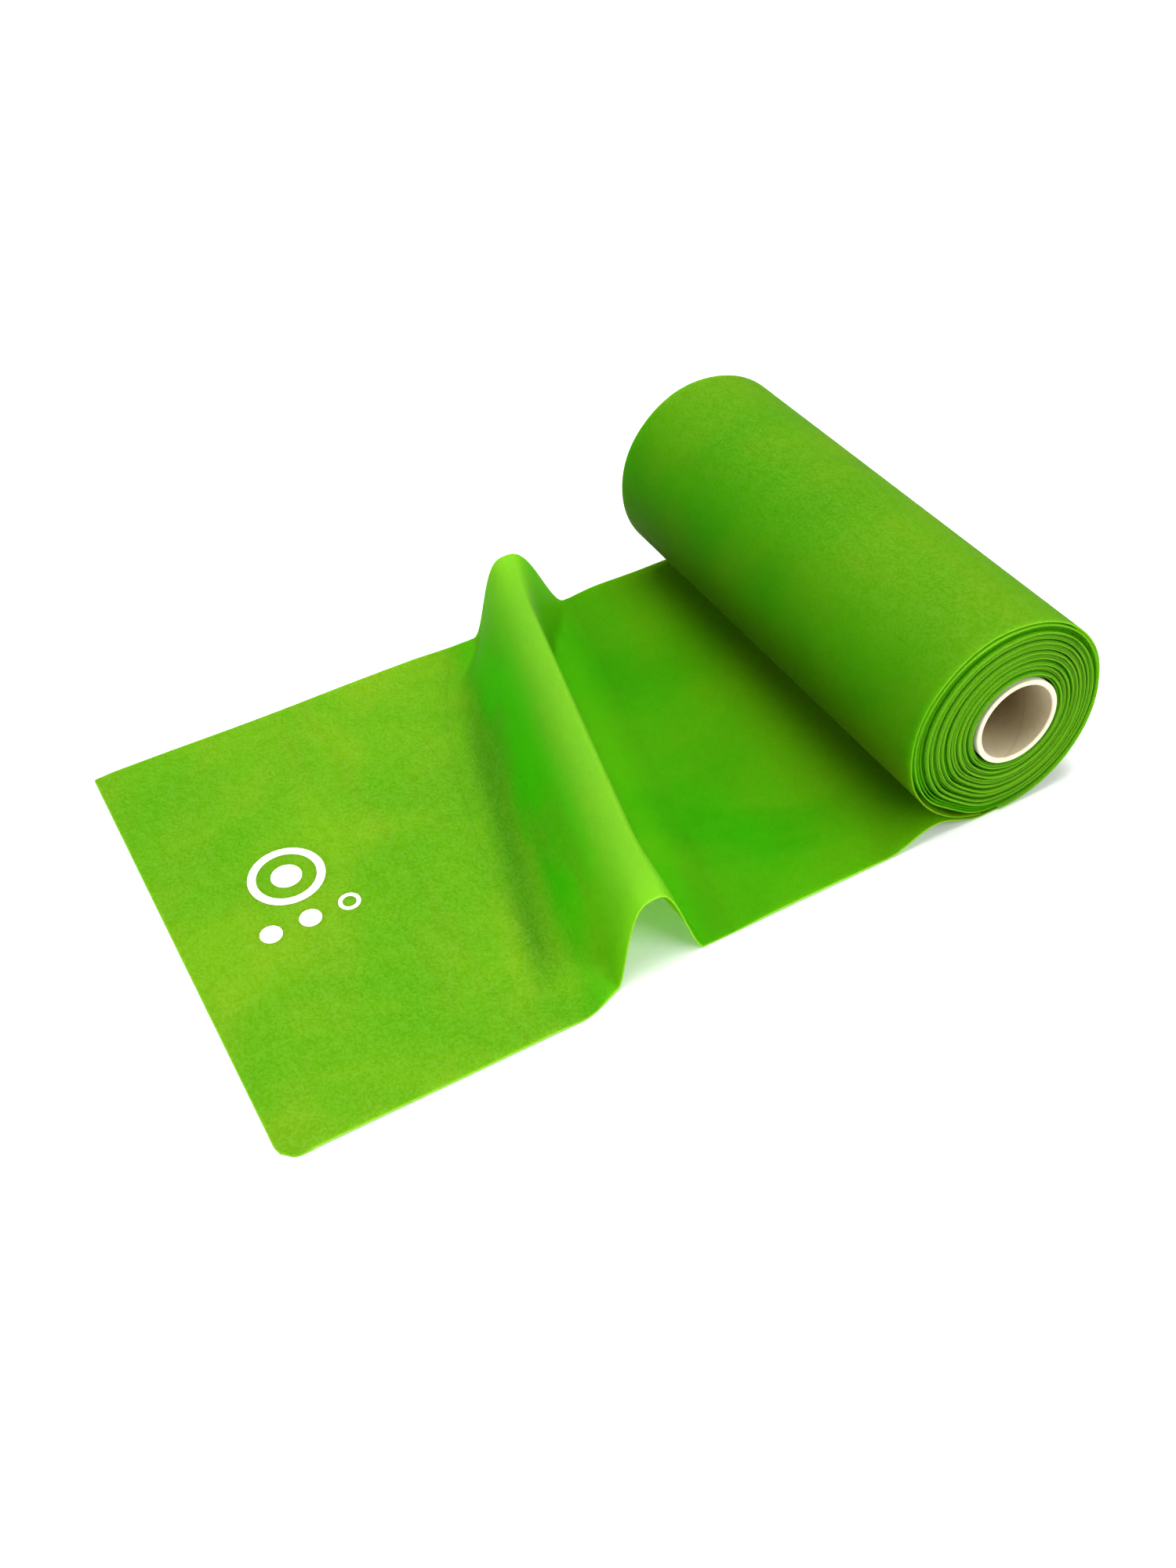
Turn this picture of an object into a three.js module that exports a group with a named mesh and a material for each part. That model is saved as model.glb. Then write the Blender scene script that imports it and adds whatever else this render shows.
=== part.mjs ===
// A resistance band: a roll of flat latex band on a card core, with its free end drawn out over a table.
// Millimetres, +Z up. +X runs along the roll's axis and the free end points towards -Y.
// The band leaves the roll at the bottom, lies flat, stands up in one ripple and lies flat again to its end.
// The band is one strip, cut here into nodes wherever one stretch of it moves against the next.

import * as THREE from "three";

// Band
const BAND_WIDTH = 150;
const BAND_THICKNESS = 0.4;
const JOIN_GAP = 0.3;

// Roll: the outline is a circle, and the core sits a little off its middle because the turns are
// wound looser on the side that faces the free end.
const ROLL_RADIUS = 29.5;
const CORE_OUTER_RADIUS = 12.5;
const CORE_INNER_RADIUS = 11;
const CORE_LENGTH = 151;
const CORE_CHAMFER = 0.25;
const CORE_OFFSET_Y = 3;
const CORE_OFFSET_Z = -1;
const TAPE_THICKNESS = 0.2;
const TAPE_WIDTH = 12;
const TAPE_LENGTH = 146;
const ROUND_SIDES = 96;

// Drawn-out band: distances in front of the roll's axis, each taken at the band's middle.
const LEAD_END = 26;
const RIPPLE_MIDDLE = 86;
const RIPPLE_HALF_BASE = 17;
const RIPPLE_HEIGHT = 24;
const RIPPLE_STEPS = 28;
const RIPPLE_SKEW = 0.2;
const FRONT_END = 142;
const STRETCH_END = 200;
const FREE_END = 206;
const LIFT_GAP = 0.4;
const CORNER_RADIUS = 3;

// Contact under the roll: the last turn is pressed flat here before it curves up the far side.
const CONTACT_HALF_WIDTH = 4;
const CRADLE_ANGLE = Math.PI / 6;

// The frame's origin is on the table under the middle of the whole length.
const ORIGIN_SHIFT = (FREE_END - ROLL_RADIUS) / 2;

// Roll: its outside rests on the table, and the wound turns stand one gap above the band that runs
// out under them.
const ROLL_CENTRE_Z = ROLL_RADIUS;
const WOUND_RADIUS = ROLL_RADIUS - BAND_THICKNESS - JOIN_GAP;
const WOUND_HOLE_RADIUS = CORE_OUTER_RADIUS + TAPE_THICKNESS + 2 * JOIN_GAP;
const CORE_CENTRE_Z = ROLL_CENTRE_Z + CORE_OFFSET_Z;

const LATEX_GREEN = 0x5ea61a;
const CARD_CREAM = 0xe9e2cf;
const TAPE_WHITE = 0xf2f0e8;

function latex() {
  return new THREE.MeshStandardMaterial({ color: LATEX_GREEN, roughness: 0.62, metalness: 0 });
}

function card() {
  return new THREE.MeshStandardMaterial({ color: CARD_CREAM, roughness: 0.85, metalness: 0 });
}

function tape() {
  return new THREE.MeshStandardMaterial({ color: TAPE_WHITE, roughness: 0.5, metalness: 0 });
}

function named(name, geometry, material) {
  const mesh = new THREE.Mesh(geometry, material);
  mesh.name = name;
  return mesh;
}

// Points of an arc drawn in the side view round a centre, evenly spaced as on a full circle of
// ROUND_SIDES sides.
function arcPoints(centreY, centreZ, radius, from, to) {
  const count = Math.max(2, Math.ceil((Math.abs(to - from) * ROUND_SIDES) / (2 * Math.PI)));
  const points = [];
  for (let i = 0; i <= count; i += 1) {
    const angle = from + ((to - from) * i) / count;
    points.push(new THREE.Vector2(
      centreY + radius * Math.cos(angle),
      centreZ + radius * Math.sin(angle),
    ));
  }
  return points;
}

// A whole circle in the side view, with no point given twice.
function circlePoints(centreY, centreZ, radius) {
  return arcPoints(centreY, centreZ, radius, 0, 2 * Math.PI).slice(0, -1);
}

// Extrudes a shape drawn in the side view, with Y across and Z up, along X, centred on X = 0.
function alongX(shape, length) {
  const geometry = new THREE.ExtrudeGeometry(shape, {
    depth: length,
    bevelEnabled: false,
    steps: 1,
  });
  geometry.translate(0, 0, -length / 2);
  const sideView = new THREE.Matrix4().makeBasis(
    new THREE.Vector3(0, 1, 0),
    new THREE.Vector3(0, 0, 1),
    new THREE.Vector3(1, 0, 0),
  );
  return geometry.applyMatrix4(sideView);
}

// Extrudes an outline drawn in plan to the band's thickness, standing on the table.
function flatPanel(outline) {
  return new THREE.ExtrudeGeometry(outline, { depth: BAND_THICKNESS, bevelEnabled: false });
}

// A line across the band at a slant, as far from the roll's axis as the ripple's foot is there.
function slantedY(distance, x) {
  return -distance - RIPPLE_SKEW * x;
}

function coreTube() {
  const half = CORE_LENGTH / 2;
  const profile = [
    new THREE.Vector2(CORE_INNER_RADIUS, -half + CORE_CHAMFER),
    new THREE.Vector2(CORE_INNER_RADIUS + CORE_CHAMFER, -half),
    new THREE.Vector2(CORE_OUTER_RADIUS - CORE_CHAMFER, -half),
    new THREE.Vector2(CORE_OUTER_RADIUS, -half + CORE_CHAMFER),
    new THREE.Vector2(CORE_OUTER_RADIUS, half - CORE_CHAMFER),
    new THREE.Vector2(CORE_OUTER_RADIUS - CORE_CHAMFER, half),
    new THREE.Vector2(CORE_INNER_RADIUS + CORE_CHAMFER, half),
    new THREE.Vector2(CORE_INNER_RADIUS, half - CORE_CHAMFER),
    new THREE.Vector2(CORE_INNER_RADIUS, -half + CORE_CHAMFER),
  ];
  const tube = named("core_tube", new THREE.LatheGeometry(profile, ROUND_SIDES), card());
  tube.rotation.z = -Math.PI / 2;
  tube.position.set(0, CORE_OFFSET_Y, CORE_CENTRE_Z);
  return tube;
}

// The strip of tape that holds the band's inner end on the core, on the core's upper side.
function innerEndTape() {
  const inner = CORE_OUTER_RADIUS + JOIN_GAP;
  const outer = inner + TAPE_THICKNESS;
  const half = TAPE_WIDTH / 2 / inner;
  const top = Math.PI / 2;
  const shape = new THREE.Shape([
    ...arcPoints(CORE_OFFSET_Y, CORE_CENTRE_Z, outer, top - half, top + half),
    ...arcPoints(CORE_OFFSET_Y, CORE_CENTRE_Z, inner, top + half, top - half),
  ]);
  return named("inner_end_tape", alongX(shape, TAPE_LENGTH), tape());
}

// All the turns that lie on the core, as one body with a round outside and an off-centre hole.
function woundTurns() {
  const shape = new THREE.Shape(circlePoints(0, ROLL_CENTRE_Z, WOUND_RADIUS));
  shape.holes.push(new THREE.Path(circlePoints(CORE_OFFSET_Y, CORE_CENTRE_Z, WOUND_HOLE_RADIUS)));
  return named("wound_turns", alongX(shape, BAND_WIDTH), latex());
}

// The turn that is about to be laid down. It goes on from the lead, once round the roll, and comes
// down to one gap above the lead.
function outerTurn() {
  const clearOfLead = Math.acos(WOUND_RADIUS / ROLL_RADIUS);
  const start = -Math.PI / 2 + CRADLE_ANGLE + JOIN_GAP / ROLL_RADIUS;
  const end = 1.5 * Math.PI - clearOfLead;
  const shape = new THREE.Shape([
    ...arcPoints(0, ROLL_CENTRE_Z, ROLL_RADIUS, start, end),
    ...arcPoints(0, ROLL_CENTRE_Z, ROLL_RADIUS - BAND_THICKNESS, end, start),
  ]);
  return named("outer_turn", alongX(shape, BAND_WIDTH), latex());
}

// The band where it leaves the roll: flat on the table in front and underneath, then curving up
// the far side as a short cradle.
function bandLead() {
  const inside = ROLL_RADIUS - BAND_THICKNESS;
  const contact = Math.asin(CONTACT_HALF_WIDTH / ROLL_RADIUS);
  const low = -Math.PI / 2 + contact;
  const high = -Math.PI / 2 + CRADLE_ANGLE;
  const shape = new THREE.Shape([
    new THREE.Vector2(-LEAD_END, 0),
    new THREE.Vector2(CONTACT_HALF_WIDTH, 0),
    ...arcPoints(0, ROLL_CENTRE_Z, ROLL_RADIUS, low, high),
    ...arcPoints(0, ROLL_CENTRE_Z, inside, high, low),
    new THREE.Vector2(0, BAND_THICKNESS),
    new THREE.Vector2(-LEAD_END, BAND_THICKNESS),
  ]);
  return named("band_lead", alongX(shape, BAND_WIDTH), latex());
}

// The flat stretch between the lead and the ripple.
function tailPanel() {
  const half = BAND_WIDTH / 2;
  const back = -LEAD_END - JOIN_GAP;
  const foot = RIPPLE_MIDDLE - RIPPLE_HALF_BASE - JOIN_GAP;
  const outline = new THREE.Shape();
  outline.moveTo(-half, back);
  outline.lineTo(-half, slantedY(foot, -half));
  outline.lineTo(half, slantedY(foot, half));
  outline.lineTo(half, back);
  outline.closePath();
  return named("tail_panel", flatPanel(outline), latex());
}

// Height of the ripple's underside at a distance from its crest, a raised cosine.
function rippleHeight(fromCrest) {
  return (RIPPLE_HEIGHT / 2) * (1 + Math.cos((Math.PI * fromCrest) / RIPPLE_HALF_BASE));
}

// The unit normal of the ripple's line, to give the sheet the same thickness all the way over.
function rippleNormal(fromCrest) {
  const phase = (Math.PI * fromCrest) / RIPPLE_HALF_BASE;
  const slope = (-RIPPLE_HEIGHT * Math.PI * Math.sin(phase)) / (2 * RIPPLE_HALF_BASE);
  return new THREE.Vector2(-slope, 1).normalize();
}

// The standing ripple, an arch across the whole band whose crest runs at a slant.
function ripple() {
  const below = [];
  const above = [];
  for (let i = 0; i <= RIPPLE_STEPS; i += 1) {
    const fromCrest = RIPPLE_HALF_BASE * (2 * i / RIPPLE_STEPS - 1);
    const height = rippleHeight(fromCrest);
    const normal = rippleNormal(fromCrest).multiplyScalar(BAND_THICKNESS);
    const y = fromCrest - RIPPLE_MIDDLE;
    below.push(new THREE.Vector2(y, height));
    above.unshift(new THREE.Vector2(y + normal.x, height + normal.y));
  }
  const geometry = alongX(new THREE.Shape([...below, ...above]), BAND_WIDTH);
  const slant = new THREE.Matrix4().makeShear(-RIPPLE_SKEW, 0, 0, 0, 0, 0);
  return named("ripple", geometry.applyMatrix4(slant), latex());
}

// The flat stretch in front of the ripple, up to the line where the free end lifts.
function frontPanel() {
  const half = BAND_WIDTH / 2;
  const foot = RIPPLE_MIDDLE + RIPPLE_HALF_BASE + JOIN_GAP;
  const outline = new THREE.Shape();
  outline.moveTo(-half, slantedY(foot, -half));
  outline.lineTo(-half, -FRONT_END);
  outline.lineTo(half, -FRONT_END);
  outline.lineTo(half, slantedY(foot, half));
  outline.closePath();
  return named("front_panel", flatPanel(outline), latex());
}

// The flat stretch that lifts and stretches.
function freeEndPanel() {
  const half = BAND_WIDTH / 2;
  const outline = new THREE.Shape();
  outline.moveTo(-half, -FRONT_END - LIFT_GAP);
  outline.lineTo(-half, -STRETCH_END);
  outline.lineTo(half, -STRETCH_END);
  outline.lineTo(half, -FRONT_END - LIFT_GAP);
  outline.closePath();
  return named("free_end_panel", flatPanel(outline), latex());
}

// The last few millimetres, which a hand holds, cut straight with softened corners.
function gripEnd() {
  const half = BAND_WIDTH / 2;
  const outline = new THREE.Shape();
  outline.moveTo(half, -STRETCH_END - JOIN_GAP);
  outline.lineTo(-half, -STRETCH_END - JOIN_GAP);
  outline.lineTo(-half, -FREE_END + CORNER_RADIUS);
  outline.absarc(-half + CORNER_RADIUS, -FREE_END + CORNER_RADIUS, CORNER_RADIUS,
    Math.PI, 1.5 * Math.PI, false);
  outline.absarc(half - CORNER_RADIUS, -FREE_END + CORNER_RADIUS, CORNER_RADIUS,
    1.5 * Math.PI, 2 * Math.PI, false);
  outline.closePath();
  return named("grip_end", flatPanel(outline), latex());
}

const band = new THREE.Group();
band.position.y = ORIGIN_SHIFT;
band.add(
  coreTube(),
  innerEndTape(),
  woundTurns(),
  outerTurn(),
  bandLead(),
  tailPanel(),
  ripple(),
  frontPanel(),
  freeEndPanel(),
  gripEnd(),
);

export default band;
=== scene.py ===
import math

import bpy
import numpy as np
from mathutils import Matrix, Vector


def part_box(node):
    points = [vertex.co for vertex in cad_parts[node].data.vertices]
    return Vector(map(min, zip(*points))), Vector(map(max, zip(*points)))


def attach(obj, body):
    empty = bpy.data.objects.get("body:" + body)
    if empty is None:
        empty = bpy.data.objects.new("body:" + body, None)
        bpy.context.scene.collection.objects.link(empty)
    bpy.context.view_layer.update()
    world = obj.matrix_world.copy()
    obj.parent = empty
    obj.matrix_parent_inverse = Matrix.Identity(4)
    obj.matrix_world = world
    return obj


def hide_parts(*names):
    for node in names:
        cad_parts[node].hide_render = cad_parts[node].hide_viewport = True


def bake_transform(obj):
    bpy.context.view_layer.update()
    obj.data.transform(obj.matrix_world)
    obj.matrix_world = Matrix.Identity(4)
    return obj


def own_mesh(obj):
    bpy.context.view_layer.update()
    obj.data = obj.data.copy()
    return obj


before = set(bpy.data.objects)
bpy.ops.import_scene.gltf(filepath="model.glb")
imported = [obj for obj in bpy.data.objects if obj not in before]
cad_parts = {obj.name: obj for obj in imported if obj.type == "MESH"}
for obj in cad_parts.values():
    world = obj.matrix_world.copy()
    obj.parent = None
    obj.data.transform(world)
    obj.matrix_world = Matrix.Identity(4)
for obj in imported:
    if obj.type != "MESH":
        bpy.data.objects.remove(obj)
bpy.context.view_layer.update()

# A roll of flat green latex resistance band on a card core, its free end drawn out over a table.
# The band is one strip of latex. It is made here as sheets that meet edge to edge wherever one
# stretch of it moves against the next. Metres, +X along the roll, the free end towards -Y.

MM = 0.001

# ---------------------------------------------------------------- sizes taken from the frame

ROLL_LOW, ROLL_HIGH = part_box("outer_turn")
CORE_LOW, CORE_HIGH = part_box("core_tube")
WOUND_LOW, WOUND_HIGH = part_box("wound_turns")
RIPPLE_LOW, RIPPLE_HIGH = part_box("ripple")
FREE_LOW, FREE_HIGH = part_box("free_end_panel")
GRIP_LOW, GRIP_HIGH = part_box("grip_end")

ROLL_RADIUS = ROLL_HIGH.z / 2
AXIS_Y = (ROLL_LOW.y + ROLL_HIGH.y) / 2
AXIS_Z = ROLL_RADIUS
WOUND_RADIUS = (WOUND_HIGH.z - WOUND_LOW.z) / 2
CORE_Y = (CORE_LOW.y + CORE_HIGH.y) / 2
CORE_Z = (CORE_LOW.z + CORE_HIGH.z) / 2
CORE_RADIUS = (CORE_HIGH.z - CORE_LOW.z) / 2
CORE_LENGTH = CORE_HIGH.x - CORE_LOW.x
BAND_WIDTH = WOUND_HIGH.x - WOUND_LOW.x
BAND_THICKNESS = FREE_HIGH.z - FREE_LOW.z
LIFT_Y = (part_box("front_panel")[0].y + FREE_HIGH.y) / 2
FREE_END_Y = GRIP_LOW.y
CREST_Y = (RIPPLE_LOW.y + RIPPLE_HIGH.y) / 2
RIPPLE_HEIGHT = RIPPLE_HIGH.z - BAND_THICKNESS
HALF_WIDTH = BAND_WIDTH / 2
HALF_THICKNESS = BAND_THICKNESS / 2

# ---------------------------------------------------------------- the band's own shape

# The ripple's crest runs at a slant. At both edges it is nearly a plain bell. In the band's middle
# its back flank is nearly upright, and a low apron spreads out in front of it. A base is how far
# the bell reaches from the crest line, and a foot how far the ripple's sheet does. Measures come
# for the far edge, the middle and the near edge.
CREST_SKEW = 0.215
CREST_SHIFT = -0.3 * MM
FRONT_FOOT_FAR = 18 * MM
FRONT_FOOT_MIDDLE = 35 * MM
FRONT_FOOT_NEAR = 21 * MM
FOOT_WIDEST_AT = 0.45
FOOT_ROUNDNESS = 2.6
FRONT_BASE_FAR = 15 * MM
FRONT_BASE_MIDDLE = 29 * MM
FRONT_BASE_NEAR = 13.6 * MM
FRONT_POWERS = (1.45, 1.1, 1.65)
APRON_HEIGHT = 3.5 * MM
APRON_POWER = 2.2
APRON_STOPS_SHORT = 0.5 * MM
APRON_EDGE_SHARE = 0.3
APRON_FROM_FAR_EDGE = 0.02
NEAR_APRON_SHARE = 0.32
BACK_FOOT = 19.5 * MM
BACK_BASE_FAR = 17 * MM
BACK_BASE_MIDDLE = 6.5 * MM
BACK_BASE_NEAR = 11.8 * MM
BACK_POWERS = (1.3, 1.1, 1.3)
EDGE_SHARE = 0.19

# How much longer the strip is in the ripple than on the table under it.
RIPPLE_ARC_EXTRA = 27 * MM

# Laid flat, the band is never quite flat or straight.
NEAR_SPREAD = 5 * MM
NEAR_SPREAD_AHEAD = 8 * MM
NEAR_SPREAD_REACH = 18 * MM
FAR_SPREAD = 2.5 * MM
FAR_PINCH = 1.8 * MM
FAR_SPREAD_AHEAD = 2 * MM
FAR_SPREAD_REACH = 16 * MM
WAVE_HEIGHT = 0.35 * MM
# Each wave: how fast it goes across the band and along it, in radians per metre, and its start.
WAVES = ((70, 48, 0.6), (-38, 95, 1.9), (120, -30, 4.1))
WAVE_FADE_AT_RIPPLE_FRONT = 14 * MM
WAVE_FADE_AT_FREE_END = 6 * MM
WAVE_FADE_AT_RIPPLE_BACK = 12 * MM
WAVE_FADE_AT_ROLL = 10 * MM
WAVES_END_BEFORE_AXIS = 12 * MM
# Behind the ripple the far edge leaves the table at this height per FAR_LIFT_LENGTH, and sinks back.
FAR_LIFT_START = 4.05 * MM
FAR_LIFT_LENGTH = 30 * MM
FAR_LIFT_REACH = 20 * MM
BULGE_HEIGHT = 4.4 * MM
BULGE_FROM_AXIS = 21 * MM
BULGE_HALF_LENGTH = 15 * MM
BULGE_REACH = 17 * MM
NEAR_CORNER_RADIUS = 5.5 * MM
FAR_CORNER_RADIUS = 0.8 * MM
CORNER_FADE = 12 * MM

# The outermost turn ends in the nip just in front of the line where the roll rests.
NIP_ANGLE = math.radians(12.5)
ROLL_BOTTOM = 1.5 * math.pi

# Where the separate sheets meet and how far each transition reaches.
BEND_LENGTH = 10 * MM

# The wound turns
TURN_THICKNESS = 0.32 * MM
FULL_TURNS = 36
STEPS_PER_TURN = 96
TAPE_CLEARANCE = 0.8 * MM
INNER_PART_TURN = 0.535
INNER_PART_SLOPE = 0.05 * MM
END_PITCH = TURN_THICKNESS * 1.25
WOUND_RIM = 0.08 * MM
# Slack of the last turns at the roll's low front: how deep, at which angle, over what half angle.
OUTLINE_SLACK = (
    (1.1 * MM, math.radians(227), math.radians(24)),
    (0.45 * MM, math.radians(200), math.radians(48)),
)
# The outer turn's edges wander sideways: how far, how often in a turn, and from which phase.
TURN_WANDER = ((0.18 * MM, 3, 0.5), (0.1 * MM, 7, 0.0))
TURN_WANDER_FADE = 0.6

# One map holds the place across and along the strip, the other the distance in front of the
# ripple's crest. The wound turns have their own stretch of the strip's length.
UV_NAME = "band"
RIPPLE_UV_NAME = "from_ripple"
FAR_FROM_RIPPLE = -1.0
WOUND_FROM = 1.0

# Rows and columns of the sheets. RIM_PLACES are the distances of the first columns from an edge,
# and RIM the shares of the full thickness that they have.
COLUMNS = 64
FIRST_INNER_COLUMN = 0.6 * MM
RIM_PLACES = np.array([0.0, 0.1, 0.3]) * MM
RIM = (0.4, 0.8, 1.0)
WOUND_RIM_SHARES = (0.6, 1.0)
END_ROWS = (0, 0.002, 0.006)
SHARP_SHEET_ANGLE = math.radians(55)
SHARP_INK_ANGLE = math.radians(40)


def srgb(red, green, blue):
    """A colour given as it looks on a screen, as the linear values that a shader takes."""
    values = [c / 255 for c in (red, green, blue)]
    linear = [c / 12.92 if c <= 0.04045 else ((c + 0.055) / 1.055) ** 2.4 for c in values]
    return (*linear, 1.0)


def smooth(t):
    """0 up to t = 0 and 1 from t = 1 on, with a smooth rise between."""
    t = np.clip(t, 0, 1)
    return t * t * (3 - 2 * t)


def hump(t):
    """1 at t = 0, falling smoothly to 0 at t = -1 and t = 1."""
    t = np.clip(np.abs(t), 0, 1)
    return (1 + np.cos(np.pi * t)) / 2


# ---------------------------------------------------------------- surface of the laid band

def crest_y(u):
    """The ripple's crest line. u is the place across the band, from its middle line."""
    return CREST_Y + CREST_SHIFT - CREST_SKEW * u


def across_share(u):
    """0 at the far edge of the band, 1 at the near edge."""
    return (u + HALF_WIDTH) / BAND_WIDTH


def inside_share(u):
    """0 at both edges of the band, 1 away from them."""
    a = across_share(u)
    return smooth(np.minimum(a, 1 - a) / EDGE_SHARE)


def by_place(u, far, middle, near):
    """A measure that goes from far to near across the band, and takes its middle value inside."""
    a = across_share(u)
    edges = far + (near - far) * a
    return edges + (middle - edges) * inside_share(u)


def front_foot(u):
    """How far in front of the straight crest line the ripple's front foot lies."""
    a = across_share(u)
    ends = FRONT_FOOT_FAR + (FRONT_FOOT_NEAR - FRONT_FOOT_FAR) * a
    middle = FRONT_FOOT_MIDDLE - (FRONT_FOOT_FAR + FRONT_FOOT_NEAR) / 2
    off_middle = 2 * np.abs(a - FOOT_WIDEST_AT)
    return ends + middle * (1 - off_middle ** FOOT_ROUNDNESS).clip(0)


def ripple_lift(u, y):
    """Height of the ripple over the table."""
    from_crest = y - crest_y(u)
    front = -from_crest / by_place(u, FRONT_BASE_FAR, FRONT_BASE_MIDDLE, FRONT_BASE_NEAR)
    back = from_crest / by_place(u, BACK_BASE_FAR, BACK_BASE_MIDDLE, BACK_BASE_NEAR)
    front = np.clip(front, 0, 1) ** by_place(u, *FRONT_POWERS)
    back = np.clip(back, 0, 1) ** by_place(u, *BACK_POWERS)
    bell = (1 + np.cos(np.pi * np.where(from_crest < 0, front, back))) / 2
    a = across_share(u)
    far_rise = smooth((a - APRON_FROM_FAR_EDGE) / APRON_EDGE_SHARE)
    near_rise = smooth((1 - a) / APRON_EDGE_SHARE)
    near_rise = NEAR_APRON_SHARE + (1 - NEAR_APRON_SHARE) * near_rise
    reach = np.clip(-from_crest / (front_foot(u) - APRON_STOPS_SHORT), 0, 1)
    apron = APRON_HEIGHT * far_rise * near_rise * (1 - reach ** APRON_POWER)
    apron = np.where(from_crest < 0, apron, 0)
    return apron + (RIPPLE_HEIGHT - apron) * bell


def front_line(u):
    """Where the ripple's sheet ends in front."""
    return crest_y(u) - front_foot(u)


def back_line(u):
    """Where the ripple's sheet ends behind."""
    return crest_y(u) + BACK_FOOT


def flat_lift(u, y):
    """Height of the flat band over the table: slight waves, a small bulge at the near edge by the
    roll, and a lifted far edge behind the ripple."""
    a = across_share(u)
    waves = sum(np.sin(fast_u * u + fast_y * y + start) for fast_u, fast_y, start in WAVES)
    free_part = smooth((front_line(u) - y) / WAVE_FADE_AT_RIPPLE_FRONT)
    free_part = free_part * smooth((y - FREE_END_Y) / WAVE_FADE_AT_FREE_END)
    tail_part = smooth((y - back_line(u)) / WAVE_FADE_AT_RIPPLE_BACK)
    before_roll = AXIS_Y - WAVES_END_BEFORE_AXIS - y
    tail_part = tail_part * smooth(before_roll / WAVE_FADE_AT_ROLL)
    wave = WAVE_HEIGHT * (1 + waves / len(WAVES)) * (free_part + tail_part)
    bulge = BULGE_HEIGHT * hump((y - AXIS_Y + BULGE_FROM_AXIS) / BULGE_HALF_LENGTH)
    bulge = bulge * np.exp(-((1 - a) * BAND_WIDTH / BULGE_REACH) ** 2)
    behind = np.clip((y - back_line(u)) / FAR_LIFT_LENGTH, 0, 1)
    far = FAR_LIFT_START * behind * (1 - behind) ** 3
    far = far * np.exp(-(a * BAND_WIDTH / FAR_LIFT_REACH) ** 2)
    return wave + bulge + far


def spread(u, y):
    """How far a point moves sideways: the free part spreads a little towards its end, and its far
    edge is pinched in by the ripple."""
    a = across_share(u)
    ahead = crest_y(u) - y
    near = NEAR_SPREAD * smooth((ahead - NEAR_SPREAD_AHEAD) / NEAR_SPREAD_REACH)
    share = np.clip((y - FREE_END_Y) / (crest_y(-HALF_WIDTH) - FREE_END_Y), 0, 1)
    far = -FAR_SPREAD + (FAR_SPREAD + FAR_PINCH) * share
    far = far * smooth((ahead - FAR_SPREAD_AHEAD) / FAR_SPREAD_REACH)
    return near * a + far * (1 - a)


def laid_points(u, y):
    """The middle of the band's thickness on the table, over the whole drawn-out part."""
    height = HALF_THICKNESS + flat_lift(u, y)
    inside_ripple = (y > front_line(u)) & (y < back_line(u))
    height = height + np.where(inside_ripple, ripple_lift(u, y), 0)
    return np.stack([u + spread(u, y), y, height], axis=-1)


def columns(count):
    """Places across the band, with a close pair at each edge for the cut edge's own roundness."""
    last_inner = HALF_WIDTH - FIRST_INNER_COLUMN
    inner = np.linspace(-last_inner, last_inner, count)
    return np.concatenate([-HALF_WIDTH + RIM_PLACES, inner, HALF_WIDTH - RIM_PLACES[::-1]])


def band_v(u, y):
    """Distance along the band from its free end, at rest, counting the ripple's own length."""
    past = np.clip((y - front_line(u)) / (back_line(u) - front_line(u)), 0, 1)
    return y - FREE_END_Y + RIPPLE_ARC_EXTRA * past


# ---------------------------------------------------------------- mesh making

def link(obj):
    """Puts an object in the scene."""
    bpy.context.scene.collection.objects.link(obj)
    return obj


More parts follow.
